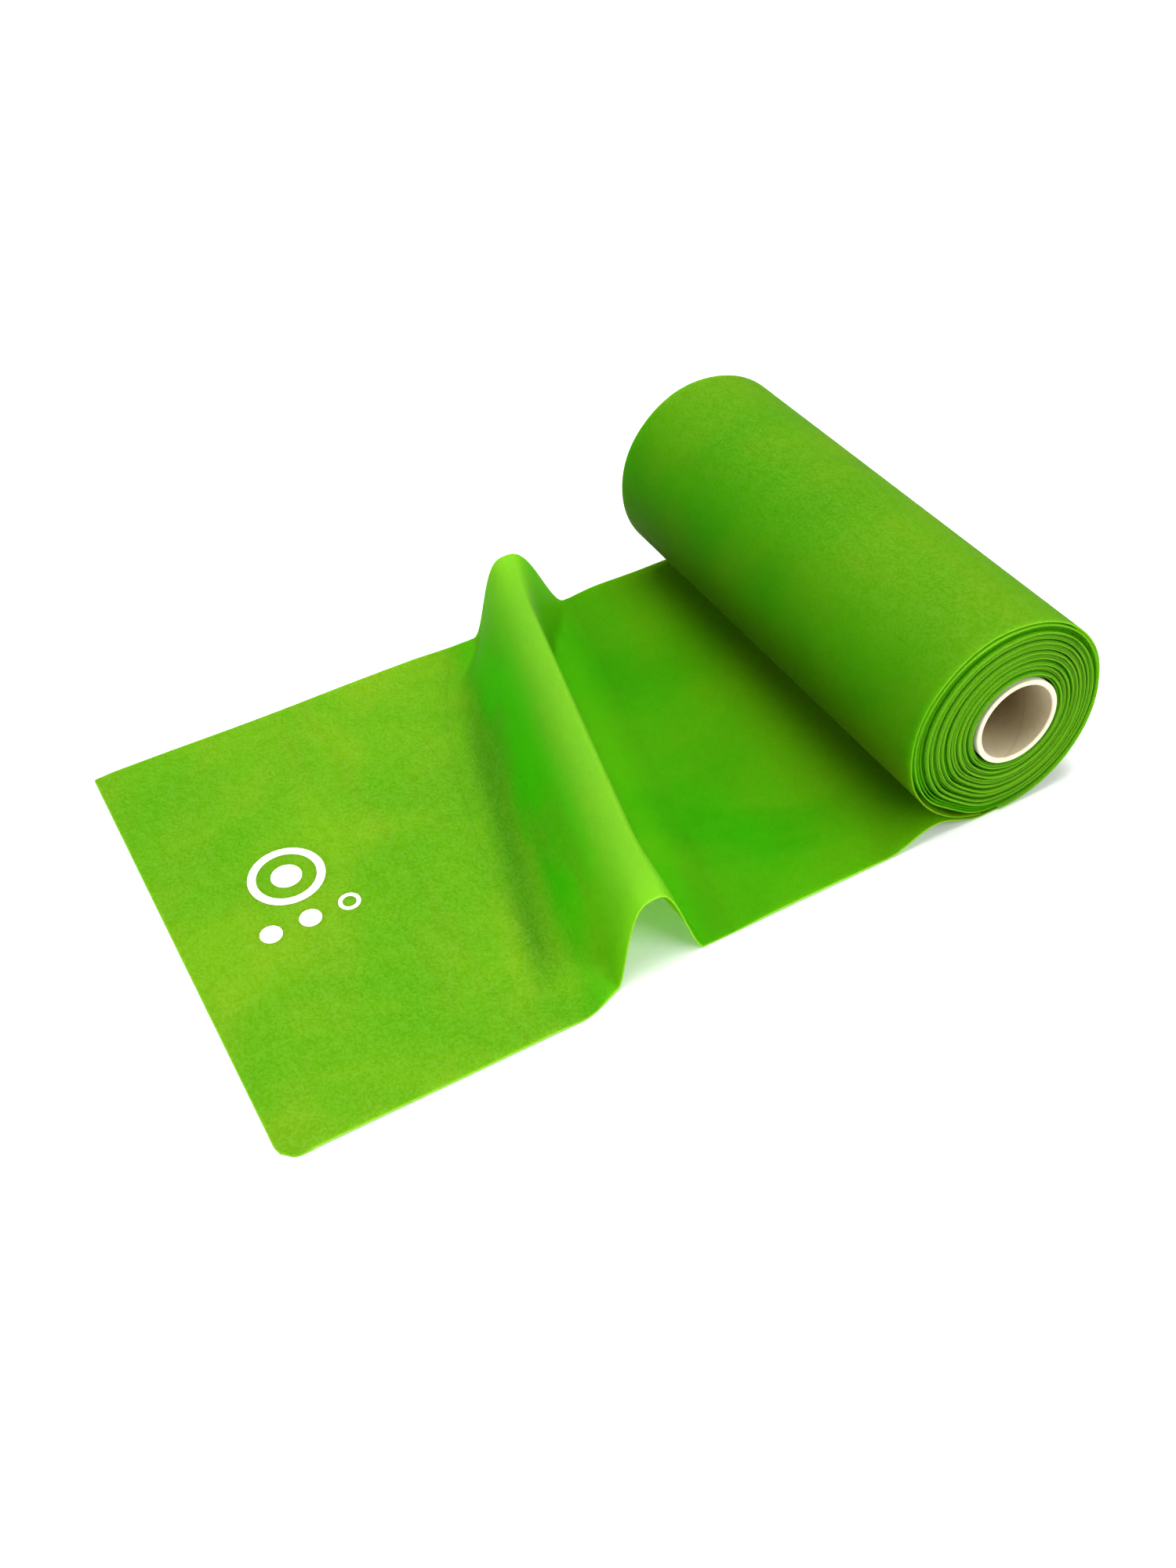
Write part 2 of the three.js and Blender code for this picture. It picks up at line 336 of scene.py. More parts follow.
def sheet_mesh(name, middle, uv, ahead, thickness, rim=(), round_first=False):
    """A closed sheet round the grid of points middle, one row after another along the band.
    uv is each point's place across and along the strip, and ahead how far it lies in front of the
    ripple's crest line. rim gives the share of the full thickness in the first columns from each
    edge, and with round_first also in the first rows."""
    rows, cols = middle.shape[:2]
    along = np.gradient(middle, axis=0)
    across = np.gradient(middle, axis=1)
    normal = np.cross(across, along)
    normal /= np.linalg.norm(normal, axis=2, keepdims=True)
    half = np.full((rows, cols), thickness / 2)
    for i, share in enumerate(rim):
        half[:, i] *= share
        half[:, cols - 1 - i] *= share
        if round_first:
            half[i, :] *= share
    top = middle + normal * half[..., None]
    bottom = middle - normal * half[..., None]
    points = np.concatenate([top.reshape(-1, 3), bottom.reshape(-1, 3)])
    index = np.arange(rows * cols).reshape(rows, cols)
    below = index + rows * cols
    a, b, c, d = index[:-1, :-1], index[:-1, 1:], index[1:, 1:], index[1:, :-1]
    faces = [np.stack([a, b, c, d], -1).reshape(-1, 4)]
    faces.append(np.stack([a, d, c, b], -1).reshape(-1, 4) + rows * cols)
    for line, under in (
        (index[0, ::-1], below[0, ::-1]),
        (index[-1], below[-1]),
        (index[:, 0], below[:, 0]),
        (index[::-1, -1], below[::-1, -1]),
    ):
        faces.append(np.stack([line[:-1], line[1:], under[1:], under[:-1]], -1))
    faces = np.concatenate(faces)
    mesh = bpy.data.meshes.new(name)
    mesh.from_pydata(points.tolist(), [], faces.tolist())
    corners = np.zeros(len(mesh.loops), np.int32)
    mesh.loops.foreach_get("vertex_index", corners)
    from_ripple = np.stack([uv[..., 0], np.broadcast_to(ahead, uv.shape[:2])], -1)
    for layer_name, values in ((UV_NAME, uv), (RIPPLE_UV_NAME, from_ripple)):
        layer = mesh.uv_layers.new(name=layer_name)
        doubled = np.concatenate([values.reshape(-1, 2)] * 2)
        layer.data.foreach_set("uv", doubled[corners].astype(np.float32).ravel())
    mesh.shade_smooth()
    mesh.set_sharp_from_angle(angle=SHARP_SHEET_ANGLE)
    mesh.validate()
    return link(bpy.data.objects.new(name, mesh))


def laid_sheet(name, first_line, last_line, rows, cols=COLUMNS, round_first=False):
    """The part of the laid band between two lines across it, each a function of the place across."""
    u = columns(cols)
    share = np.linspace(0, 1, rows)
    if round_first:
        share = np.concatenate([END_ROWS, share[1:]])
    first, last = first_line(u), last_line(u)
    y = first + (last - first) * share[:, None]
    grid_u = np.broadcast_to(u, y.shape)
    uv = np.stack([grid_u + HALF_WIDTH, band_v(grid_u, y)], -1)
    middle = laid_points(grid_u, y)
    if round_first:
        middle = round_corners(middle, grid_u, y)
    ahead = crest_y(grid_u) - y
    return sheet_mesh(name, middle, uv, ahead, BAND_THICKNESS, RIM, round_first), uv


def round_corners(middle, u, y):
    """Rounds the free end's near corner, and leaves the far one nearly sharp."""
    from_side = HALF_WIDTH - np.abs(u)
    radius = np.where(u > 0, NEAR_CORNER_RADIUS, FAR_CORNER_RADIUS)
    inside = np.clip(radius - from_side, 0, None)
    cut = radius - np.sqrt(np.clip(radius ** 2 - inside ** 2, 0, None))
    near_end = smooth((FREE_END_Y + CORNER_FADE - y) / CORNER_FADE)
    middle = middle.copy()
    middle[..., 1] += cut * near_end
    return middle


def straight(y):
    """A line straight across the band, for laid_sheet."""
    return lambda u: np.full_like(u, y)


# ---------------------------------------------------------------- the sheets

def lead_and_outer_turn():
    """From the ripple's back foot under the roll and once round it to the nip."""
    u = columns(COLUMNS)
    flat_rows = 90
    turn_rows = 200
    first = back_line(u)
    share = np.linspace(0, 1, flat_rows, endpoint=False)
    y = first + (AXIS_Y - first) * share[:, None]
    grid_u = np.broadcast_to(u, y.shape)
    flat = laid_points(grid_u, y)
    flat_uv = np.stack([grid_u + HALF_WIDTH, band_v(grid_u, y)], -1)
    radius = ROLL_RADIUS - HALF_THICKNESS
    turn = np.linspace(0, 2 * math.pi - NIP_ANGLE, turn_rows)
    angle = (ROLL_BOTTOM + turn)[:, None] + 0 * u
    turn_u = np.broadcast_to(u, angle.shape)
    wander = sum(size * np.sin(count * turn + phase) for size, count, phase in TURN_WANDER)
    wander = wander * smooth(turn / TURN_WANDER_FADE)
    x = turn_u + wander[:, None]
    round_part = np.stack(
        [x, AXIS_Y + radius * np.cos(angle), AXIS_Z + radius * np.sin(angle)], -1
    )
    start_v = band_v(u, np.full_like(u, AXIS_Y))
    turn_v = start_v + radius * turn[:, None]
    round_uv = np.stack([turn_u + HALF_WIDTH, turn_v], -1)
    middle = np.concatenate([flat, round_part])
    uv = np.concatenate([flat_uv, round_uv])
    ahead = np.concatenate([crest_y(grid_u) - y, np.full_like(turn_u, FAR_FROM_RIPPLE)])
    length = (AXIS_Y - first).mean() + radius * turn[-1]
    name = "band_lead_and_outer_turn"
    return sheet_mesh(name, middle, uv, ahead, BAND_THICKNESS, RIM), length


# Where turns stand apart: the turn counted from the core, how wide the gap is compared with the
# others, and over how many turns it opens and closes.
GAPS = (
    (0.8, 1.0, 0.6),
    (4.2, 1.2, 0.6),
    (8.0, 0.8, 0.6),
    (11.6, 1.2, 0.6),
    (15.4, 0.8, 0.55),
    (19.0, 1.2, 0.6),
    (22.6, 0.9, 0.55),
    (26.0, 1.2, 0.6),
    (29.4, 1.0, 0.6),
    (32.16, 1.2, 0.4),
    (33.2, 1.3, 0.35),
    (34.18, 1.5, 0.3),
    (35.2, 1.2, 0.25),
)
EVEN_GAP = 0.02

# The turns' edges stand more or less far out of the roll's end faces. Slow waves: how far, how fast
# per turn, and how much of the end's own phase. Steps beside each gap: how far, how many turns
# outside it, and over how many turns.
EDGE_WAVES = ((0.14 * MM, 0.9, 1), (0.1 * MM, 2.3, 2))
EDGE_STEPS = ((0.5 * MM, 0.9, 0.55), (-0.6 * MM, -0.3, 0.6))
NEAR_PHASE = 0
FAR_PHASE = 5


def gap_share(turn):
    """How wide the gap outside a turn is, compared with the others. turn may be fractional."""
    total = np.full_like(turn, EVEN_GAP)
    for middle, size, over in GAPS:
        total = total + size * np.exp(-((turn - middle) / over) ** 2)
    return total


def outline_radius(angle):
    """Distance from the core's axis to the middle of the last wound turn, at an angle."""
    slack = sum(deep * hump((angle - at) / half) for deep, at, half in OUTLINE_SLACK)
    outline = WOUND_RADIUS - TURN_THICKNESS / 2 - slack
    away_y, away_z = CORE_Y - AXIS_Y, CORE_Z - AXIS_Z
    along = away_y * np.cos(angle) + away_z * np.sin(angle)
    off = away_y ** 2 + away_z ** 2
    return -along + np.sqrt(along ** 2 - off + outline ** 2)


def wound_turns():
    """All the turns between the core and the outermost one, as one spiral strip."""
    end_angle = ROLL_BOTTOM - NIP_ANGLE
    inner = CORE_RADIUS + TAPE_CLEARANCE
    share = np.arange(STEPS_PER_TURN) / STEPS_PER_TURN
    angle = end_angle + 2 * math.pi * (1 - share)
    first = inner + END_PITCH * share
    last = outline_radius(np.mod(angle, 2 * math.pi)) - END_PITCH * (1 - share)
    gaps = np.array([gap_share(share + k) for k in range(FULL_TURNS - 1)])
    room = last - first - (FULL_TURNS - 1) * TURN_THICKNESS
    scaled = gaps * room / gaps.sum(axis=0)
    steps = np.concatenate([np.zeros((1, STEPS_PER_TURN)), scaled + TURN_THICKNESS])
    radius = (first + np.cumsum(steps, axis=0)).ravel()
    turn = np.arange(FULL_TURNS * STEPS_PER_TURN) / STEPS_PER_TURN
    part = -np.arange(int(INNER_PART_TURN * STEPS_PER_TURN), 0, -1) / STEPS_PER_TURN
    radius = np.concatenate([inner + INNER_PART_SLOPE * part, radius])
    turn = np.concatenate([part, turn])
    angle = end_angle - 2 * math.pi * turn
    near = HALF_WIDTH + edge_step(turn, NEAR_PHASE)
    far = HALF_WIDTH + edge_step(turn, FAR_PHASE)
    x = np.stack([-far, -far + WOUND_RIM, near - WOUND_RIM, near], -1)
    y = CORE_Y + radius * np.cos(angle)
    z = CORE_Z + radius * np.sin(angle)
    lengths = np.hypot(np.diff(y), np.diff(z))
    v = WOUND_FROM + np.concatenate([[0], np.cumsum(lengths)])
    y, z, v = (np.broadcast_to(values[:, None], x.shape) for values in (y, z, v))
    middle = np.stack([x, y, z], -1)[::-1]
    uv = np.stack([x + HALF_WIDTH, v], -1)[::-1]
    name = "wound_turns_spiral"
    obj = sheet_mesh(name, middle, uv, FAR_FROM_RIPPLE, TURN_THICKNESS, WOUND_RIM_SHARES)
    return obj, float(lengths.sum())


def edge_step(turn, phase):
    """How far a turn's edge stands out of the roll's end face."""
    out = sum(far * np.sin(fast * turn + share * phase) for far, fast, share in EDGE_WAVES)
    for middle, size, _ in GAPS:
        for far, outside, over in EDGE_STEPS:
            out = out + size * far * np.exp(-((turn - middle - outside) / over) ** 2)
    return out


# ---------------------------------------------------------------- the printed mark

INK_HEIGHT = 0.03 * MM
INK_CLEARANCE = 0.01 * MM
RING_CENTRE = (-9 * MM, AXIS_Y - 172 * MM)
RING_OUTER = 10.5 * MM
RING_INNER = 8.2 * MM
DISC_RADIUS = 4.2 * MM
DOT_RADIUS = 3.0 * MM
DOT_HOLE = 1.9 * MM
DOT_SPACING = 11 * MM
DOTS_BELOW = 17.5 * MM
PINHOLE = 1e-6


def ink_ring(parts, centre, outer, inner, rings=6, sides=72):
    """Adds a flat ring of ink, or a disc where inner is 0, that follows the band's surface."""
    radii = np.linspace(inner, outer, rings + 1).clip(PINHOLE)
    angles = np.linspace(0, 2 * math.pi, sides, endpoint=False)
    for level, lift in ((0, 0.0), (1, INK_HEIGHT)):
        for radius in radii:
            u = centre[0] + radius * np.cos(angles)
            y = centre[1] + radius * np.sin(angles)
            surface = laid_points(u, y)
            surface[:, 2] += HALF_THICKNESS + lift + INK_CLEARANCE
            parts["points"] += surface.tolist()
    start = parts["start"]
    layer = (rings + 1) * sides

    def at(level, ring, side):
        return start + level * layer + ring * sides + side % sides

    for side in range(sides):
        for ring in range(rings):
            parts["faces"].append((at(1, ring, side), at(1, ring + 1, side),
                                   at(1, ring + 1, side + 1), at(1, ring, side + 1)))
            parts["faces"].append((at(0, ring, side), at(0, ring, side + 1),
                                   at(0, ring + 1, side + 1), at(0, ring + 1, side)))
        parts["faces"].append((at(0, rings, side), at(0, rings, side + 1),
                               at(1, rings, side + 1), at(1, rings, side)))
        parts["faces"].append((at(0, 0, side + 1), at(0, 0, side),
                               at(1, 0, side), at(1, 0, side + 1)))
    parts["start"] += 2 * layer


def printed_mark():
    """A plain ring and disc over three level dots, two of them filled."""
    parts = {"points": [], "faces": [], "start": 0}
    x, y = RING_CENTRE
    ink_ring(parts, (x, y), RING_OUTER, RING_INNER)
    ink_ring(parts, (x, y), DISC_RADIUS, 0)
    for i, hole in ((-1, 0), (0, 0), (1, DOT_HOLE)):
        ink_ring(parts, (x + DOTS_BELOW, y + i * DOT_SPACING), DOT_RADIUS, hole)
    mesh = bpy.data.meshes.new("printed_mark")
    mesh.from_pydata(parts["points"], [], parts["faces"])
    layer = mesh.uv_layers.new(name=UV_NAME)
    for corner in mesh.loops:
        place = mesh.vertices[corner.vertex_index].co
        layer.data[corner.index].uv = (place.x + HALF_WIDTH, place.y - FREE_END_Y)
    mesh.shade_smooth()
    mesh.set_sharp_from_angle(angle=SHARP_INK_ANGLE)
    return link(bpy.data.objects.new("printed_mark", mesh))


# ---------------------------------------------------------------- materials

class Shader:
    """Short ways to add and join the nodes of one material."""

    def __init__(self, name):
        self.material = bpy.data.materials.new(name)
        self.material.use_nodes = True
        self.tree = self.material.node_tree
        self.tree.nodes.clear()
        self.output = self.add("ShaderNodeOutputMaterial")

    def add(self, kind, **settings):
        node = self.tree.nodes.new(kind)
        for key, value in settings.items():
            setattr(node, key, value)
        return node

    def put(self, value, socket):
        """Gives a socket a number, or joins it to another node's socket."""
        if isinstance(value, bpy.types.NodeSocket):
            self.tree.links.new(value, socket)
        else:
            socket.default_value = value

    def uv(self, name):
        return self.add("ShaderNodeUVMap", uv_map=name).outputs["UV"]

    def object_place(self):
        return self.add("ShaderNodeTexCoord").outputs["Object"]

    def split(self, vector):
        node = self.add("ShaderNodeSeparateXYZ")
        self.put(vector, node.inputs[0])
        return [node.outputs[axis] for axis in "XYZ"]

    def scaled(self, vector, scale):
        node = self.add("ShaderNodeMapping")
        self.put(vector, node.inputs["Vector"])
        node.inputs["Scale"].default_value = scale
        return node.outputs["Vector"]

    def noise(self, vector, scale, detail, roughness, distortion=0.0, stretch=None):
        """Noise over a place, which stretch scales along its three axes first."""
        if stretch is not None:
            vector = self.scaled(vector, stretch)
        node = self.add("ShaderNodeTexNoise")
        self.put(vector, node.inputs["Vector"])
        node.inputs["Scale"].default_value = scale
        node.inputs["Detail"].default_value = detail
        node.inputs["Roughness"].default_value = roughness
        node.inputs["Distortion"].default_value = distortion
        return node.outputs["Fac"]

    def math(self, operation, a, b=0.0):
        node = self.add("ShaderNodeMath", operation=operation)
        self.put(a, node.inputs[0])
        self.put(b, node.inputs[1])
        return node.outputs[0]

    def times(self, a, b):
        return self.math("MULTIPLY", a, b)

    def plus(self, a, b):
        return self.math("ADD", a, b)

    def minus(self, a, b):
        return self.math("SUBTRACT", a, b)

    def ramp(self, value, low, high, to_low=0.0, to_high=1.0):
        """Goes smoothly from to_low to to_high as the value goes from low to high."""
        node = self.add("ShaderNodeMapRange", interpolation_type="SMOOTHSTEP")
        self.put(value, node.inputs["Value"])
        for socket, number in (
            ("From Min", low),
            ("From Max", high),
            ("To Min", to_low),
            ("To Max", to_high),
        ):
            node.inputs[socket].default_value = number
        return node.outputs["Result"]

    def between(self, share, at_none, at_full):
        """at_none where the share is 0, at_full where it is 1."""
        return self.ramp(share, 0, 1, at_none, at_full)

    def window(self, value, begins, full, fades, ends):
        """A share that is 1 from full to fades, and 0 before it begins and after it ends."""
        return self.times(self.ramp(value, begins, full), self.ramp(value, fades, ends, 1.0, 0.0))

    def mix(self, share, a, b):
        node = self.add("ShaderNodeMix", data_type="RGBA")
        self.put(share, node.inputs["Factor"])
        self.put(a, node.inputs["A"])
        self.put(b, node.inputs["B"])
        return node.outputs["Result"]

    def bump(self, height, distance, strength, normal=None):
        node = self.add("ShaderNodeBump")
        self.put(height, node.inputs["Height"])
        node.inputs["Distance"].default_value = distance
        node.inputs["Strength"].default_value = strength
        if normal is not None:
            self.put(normal, node.inputs["Normal"])
        return node.outputs["Normal"]

    def body(self, colour, roughness, normal):
        """The main shader of a material, joined to its output."""
        node = self.add("ShaderNodeBsdfPrincipled")
        self.put(colour, node.inputs["Base Color"])
        self.put(roughness, node.inputs["Roughness"])
        self.put(normal, node.inputs["Normal"])
        self.put(node.outputs[0], self.output.inputs["Surface"])
        return node


# The part of a noise's range in which most of its values lie.
NOISE_RANGE = (0.3, 0.7)

# Deep green in the grain's pits, and painted shade in the crease in front of the ripple.
LATEX_DEEP = srgb(62, 146, 0)
LATEX_PURE = srgb(62, 176, 0)
# Bright green of the patches, and painted light on the ripple's front flank.
LATEX_BRIGHT = srgb(64, 200, 0)
# Painted shade: olive where the roll shades the tail, and on the roll's low front.
LATEX_OLIVE_SHADE = srgb(128, 158, 0)
# Yellowish clouds, and painted light on the free part and the roll's back and top.
LATEX_YELLOW = srgb(160, 197, 26)
# Pale powder, laid on also as painted sheen on the free part, the crest and the roll's top.
LATEX_POWDER_AND_SHEEN = srgb(168, 214, 92)
# Painted highlight on the strip's cut edges.
LATEX_EDGE_HIGHLIGHT = srgb(186, 230, 78)
LATEX_THROUGH = srgb(174, 220, 0)
# Painted highlight along the ripple's crest.
LATEX_CREST_HIGHLIGHT = srgb(176, 226, 70)
LATEX_SHEEN = srgb(200, 240, 120)

# Stretches of the strip, as distances from its free end: where a tint begins, is full, begins to
# fade and has ended.
# Painted shade on the tail by the roll.
TAIL_ROLL_SHADE = (0.17, 0.215, 0.24, 0.3)
# Painted highlight on the roll's top.
ROLL_TOP_HIGHLIGHT = (0.28, 0.315, 0.325, 0.36)
# Painted shade on the roll's low front.
ROLL_LOW_FRONT_SHADE = (0.355, 0.39, 0.42, 0.5)
FROM_ROLL_ON = (0.20, 0.28)
# The roll's back and top are made yellower as a painted highlight, which fades out towards its
# front.
ROLL_FRONT_FADE = (0.31, 0.37)

# The same round the ripple, as distances in front of its crest line.
# Painted highlight along the crest.
CREST_HIGHLIGHT = (-7 * MM, -1 * MM, 0, 15 * MM)
# Painted light on the front flank: the glow of light through the sheet.
FLANK_LIGHT = (6 * MM, 13 * MM, 18 * MM, 26 * MM)
FREE_OF_TABLE = (-20 * MM, -8 * MM, 14 * MM, 24 * MM)
# The free part, made yellower and paler with painted light and sheen.
FREE_PART = (2 * MM, 36 * MM)

# The same across the strip, from its far edge.
FLANK_FAR = (0.01, 0.045)
FLANK_NEAR = (0.115, 0.142)
VALLEY_FAR = (0.02, 0.06)
VALLEY_NEAR = (0.12, 0.145)

# The soft crease where the ripple runs out into the flat band drifts away from the crest.
VALLEY_AHEAD = 22 * MM
VALLEY_SLANT = 0.06
# Painted shade along that crease.
VALLEY_SHADE = (-7 * MM, 0.5 * MM, 0, 7 * MM)

# Width of the painted highlight along the strip's cut edges.
SIDE_HIGHLIGHT = (0.35 * MM, 0.1 * MM)
END_HIGHLIGHT = (0.1 * MM, 0.4 * MM)

# The patterns in the latex, from the largest to the finest.
CLOUDS = dict(scale=19, detail=3.5, roughness=0.55, distortion=0.5, stretch=(1.0, 0.75, 1.0))
PATCHES = dict(scale=55, detail=2.0, roughness=0.45, distortion=0.15, stretch=(0.5, 1.2, 1.0))
STREAKS = dict(scale=1, detail=3.0, roughness=0.6, stretch=(210, 22, 1))
MOTTLE = dict(scale=300, detail=4.0, roughness=0.75)
GRAIN = dict(scale=1150, detail=3.0, roughness=0.75)
PORES = dict(scale=4200, detail=1.0, roughness=0.5)
STREAK_DEPTH = 0.05 * MM
GRAIN_DEPTH = 0.035 * MM

LATEX_IOR = 1.5
LATEX_ROUGHNESS = (0.5, 0.66)
LATEX_SPECULAR = 0.03
LATEX_SHEEN_WEIGHT = 0.1
LATEX_SHEEN_ROUGHNESS = 0.3
LATEX_TRANSLUCENCE = 0.7


class Strip:
    """Where a shaded point lies on the band, and the patterns that several of its tints use."""

    def __init__(self, s):
        self.place = s.uv(UV_NAME)
        self.across, self.along, _ = s.split(self.place)
        self.ahead = s.split(s.uv(RIPPLE_UV_NAME))[1]
        self.clouds = s.noise(self.place, **CLOUDS)
        self.grain = s.noise(self.place, **GRAIN)
        self.free_part = s.ramp(self.ahead, *FREE_PART)
        self.wound_part = s.ramp(self.along, *FROM_ROLL_ON)
        # Where the crest's painted highlight lies.
        self.crest = s.window(self.ahead, *CREST_HIGHLIGHT)
        # The front flank, which painted light brightens.
        flank = s.window(self.ahead, *FLANK_LIGHT)
        flank = s.times(flank, s.ramp(self.across, *FLANK_FAR, 0.35, 1.0))
        self.flank = s.times(flank, s.ramp(self.across, *FLANK_NEAR, 1.0, 0.25))


def pure_share(s, strip):
    """How much a place shows the brightest green: patches that follow the ripple's slant,
    strongest on its front flank, where they are painted light."""
    with_crest = s.add("ShaderNodeCombineXYZ")
    s.put(strip.across, with_crest.inputs["X"])
    s.put(s.plus(strip.along, s.times(strip.across, CREST_SKEW)), with_crest.inputs["Y"])
    patches = s.noise(with_crest.outputs[0], **PATCHES)
    most = s.plus(s.times(strip.flank, 0.8), 0.15)
    return s.times(s.ramp(patches, 0.36, 0.56), most)


def cloudy_green(s, strip, pure):
    """Yellowish clouds in pure green, painted light that makes the free part and the roll's back and
    top yellower, and bright patches over both.
    """
    # Painted highlight: the roll's back and top made yellower.
    painted_roll_top_light = s.ramp(strip.along, *ROLL_FRONT_FADE, 0.4, 0.0)
    yellow = s.times(s.ramp(strip.clouds, 0.32, 0.66), s.between(strip.free_part, 0.3, 0.55))
    # Painted light: the free part made yellower.
    yellow = s.plus(yellow, s.times(strip.free_part, 0.5))
    yellow = s.plus(yellow, s.times(strip.wound_part, painted_roll_top_light))
    # Less yellow on the front flank, under its painted light.
    yellow = s.times(yellow, s.between(strip.flank, 1.0, 0.35))
    return s.mix(pure, s.mix(yellow, LATEX_PURE, LATEX_YELLOW), LATEX_BRIGHT)


def painted_shade_and_highlight(s, strip, colour):
    """Painted shade: olive by the roll, deep green in the crease. Painted highlight: pale along the
    crest.
    """
    # Painted shade, olive: on the tail by the roll and on the roll's low front.
    painted_roll_shade = s.times(s.window(strip.along, *TAIL_ROLL_SHADE), 0.5)
    painted_low_front_shade = s.times(s.window(strip.along, *ROLL_LOW_FRONT_SHADE), 0.85)
    colour = s.mix(s.math("MAXIMUM", painted_roll_shade, painted_low_front_shade), colour, LATEX_OLIVE_SHADE)
    # Painted shade, deep green, in the crease where the ripple runs out.
    valley_line = s.plus(s.times(strip.across, VALLEY_SLANT), VALLEY_AHEAD)
    valley = s.window(s.minus(strip.ahead, valley_line), *VALLEY_SHADE)
    valley = s.times(valley, s.ramp(strip.across, *VALLEY_FAR))
    valley = s.times(valley, s.ramp(strip.across, *VALLEY_NEAR, 0.7, 0.1))
    colour = s.mix(valley, colour, LATEX_DEEP)
    # Painted highlight, pale, along the ripple's crest.
    return s.mix(s.times(strip.crest, 0.6), colour, LATEX_CREST_HIGHLIGHT)


def powder_and_painted_sheen(s, strip, colour, pure):
    """A bloom of pale powder in the grain, with deeper green in its pits. On the free part, along
    the crest and on the roll's top it is painted sheen and highlight as well.
    """
    # Partly powder, partly painted sheen on the free part and along the crest.
    share = s.plus(s.times(strip.free_part, 0.3), s.times(strip.crest, 0.1))
    share = s.times(share, s.minus(1.0, pure))
    # Painted highlight: pale powder colour on the roll's top.
    share = s.plus(share, s.times(s.window(strip.along, *ROLL_TOP_HIGHLIGHT), 0.2))
    share = s.plus(share, 0.04)
    mottle = s.noise(strip.place, **MOTTLE)
    speckle = s.plus(s.times(strip.grain, 0.7), s.times(mottle, 0.3))
    colour = s.mix(s.times(s.ramp(speckle, 0.42, 0.6), share), colour, LATEX_POWDER_AND_SHEEN)
    return s.mix(s.ramp(speckle, 0.4, 0.56, 0.2, 0.0), colour, LATEX_DEEP)


def painted_edge_highlight(s, strip, colour):
    """Painted highlight on the strip's cut edges, weaker where they are wound on each other."""
    from_middle = s.math("ABSOLUTE", s.minus(strip.across, HALF_WIDTH))
    side = s.ramp(from_middle, HALF_WIDTH - SIDE_HIGHLIGHT[0], HALF_WIDTH - SIDE_HIGHLIGHT[1])
    edge = s.math("MAXIMUM", side, s.ramp(strip.along, *END_HIGHLIGHT, 1.0, 0.0))
    return s.mix(s.times(edge, s.between(strip.wound_part, 0.8, 0.38)), colour, LATEX_EDGE_HIGHLIGHT)


def latex_relief(s, strip):
    """Faint streaks along the strip under a fine grain with pores."""
    streaks = s.bump(s.noise(strip.place, **STREAKS), STREAK_DEPTH, strength=0.5)
    pores = s.noise(strip.place, **PORES)
    height = s.plus(s.times(strip.grain, 0.7), s.times(pores, 0.3))
    return s.bump(height, GRAIN_DEPTH, strength=0.6, normal=streaks)


def latex_material():
    """Thin dusted latex that light passes through, with painted shade, highlight and sheen in its
    colour.
    The pattern lies on the strip itself: across and along it, and round the ripple by the distance
    from its crest."""
    s = Shader("green_latex")
    strip = Strip(s)
    pure = pure_share(s, strip)
    colour = cloudy_green(s, strip, pure)
    colour = painted_shade_and_highlight(s, strip, colour)
    colour = powder_and_painted_sheen(s, strip, colour, pure)
    colour = painted_edge_highlight(s, strip, colour)
    normal = latex_relief(s, strip)

    body = s.body(colour, s.ramp(strip.clouds, *NOISE_RANGE, *LATEX_ROUGHNESS), normal)
    body.inputs["IOR"].default_value = LATEX_IOR
    body.inputs["Specular IOR Level"].default_value = LATEX_SPECULAR
    body.inputs["Sheen Weight"].default_value = LATEX_SHEEN_WEIGHT
    body.inputs["Sheen Roughness"].default_value = LATEX_SHEEN_ROUGHNESS
    body.inputs["Sheen Tint"].default_value = LATEX_SHEEN

    standing = s.window(strip.ahead, *FREE_OF_TABLE)
    through = s.add("ShaderNodeBsdfTranslucent")
    s.put(s.mix(s.between(standing, 0.55, 0.9), colour, LATEX_THROUGH), through.inputs["Color"])
    s.put(normal, through.inputs["Normal"])
    both = s.add("ShaderNodeMixShader")
    both.inputs["Fac"].default_value = LATEX_TRANSLUCENCE
    s.put(body.outputs[0], both.inputs[1])
    s.put(through.outputs[0], both.inputs[2])
    s.put(both.outputs[0], s.output.inputs["Surface"])
    return s.material


CARD = srgb(232, 224, 204)
# The bore deep inside, darkened with painted shade.
CARD_BORE_DEEP_SHADE = srgb(140, 120, 78)
CARD_BORE_MOUTH = srgb(196, 184, 150)
CARD_END = srgb(226, 216, 190)
CARD_STAIN = srgb(190, 178, 146)
CARD_FIBRE = srgb(160, 148, 120)
CARD_SEAM = srgb(120, 108, 84)
CARD_PLY = srgb(196, 186, 156)
SEAM_PITCH = 42 * MM
SEAM_HALF_WIDTH = 0.02
PLY_THICKNESS = 0.5 * MM
# How far inside an end of the core each of these begins and is full.
# Over this, the bore's painted shade fades out towards the mouth.
MOUTH_SHADE_FADE = (19 * MM, 1 * MM)
END_RIM_TINT = (0.6 * MM, 0.2 * MM)
# How far under the core's outer face the bore's tint is full and begins.
BORE_TINT = (1.35 * MM, 1.1 * MM)
FIBRES = dict(scale=1, detail=3.0, roughness=0.6, stretch=(400, 1500, 1500))
STAINS = dict(scale=130, detail=3.0, roughness=0.55)
CARD_DEPTH = 0.08 * MM
CARD_ROUGHNESS = (0.72, 0.9)
CARD_SPECULAR = 0.3


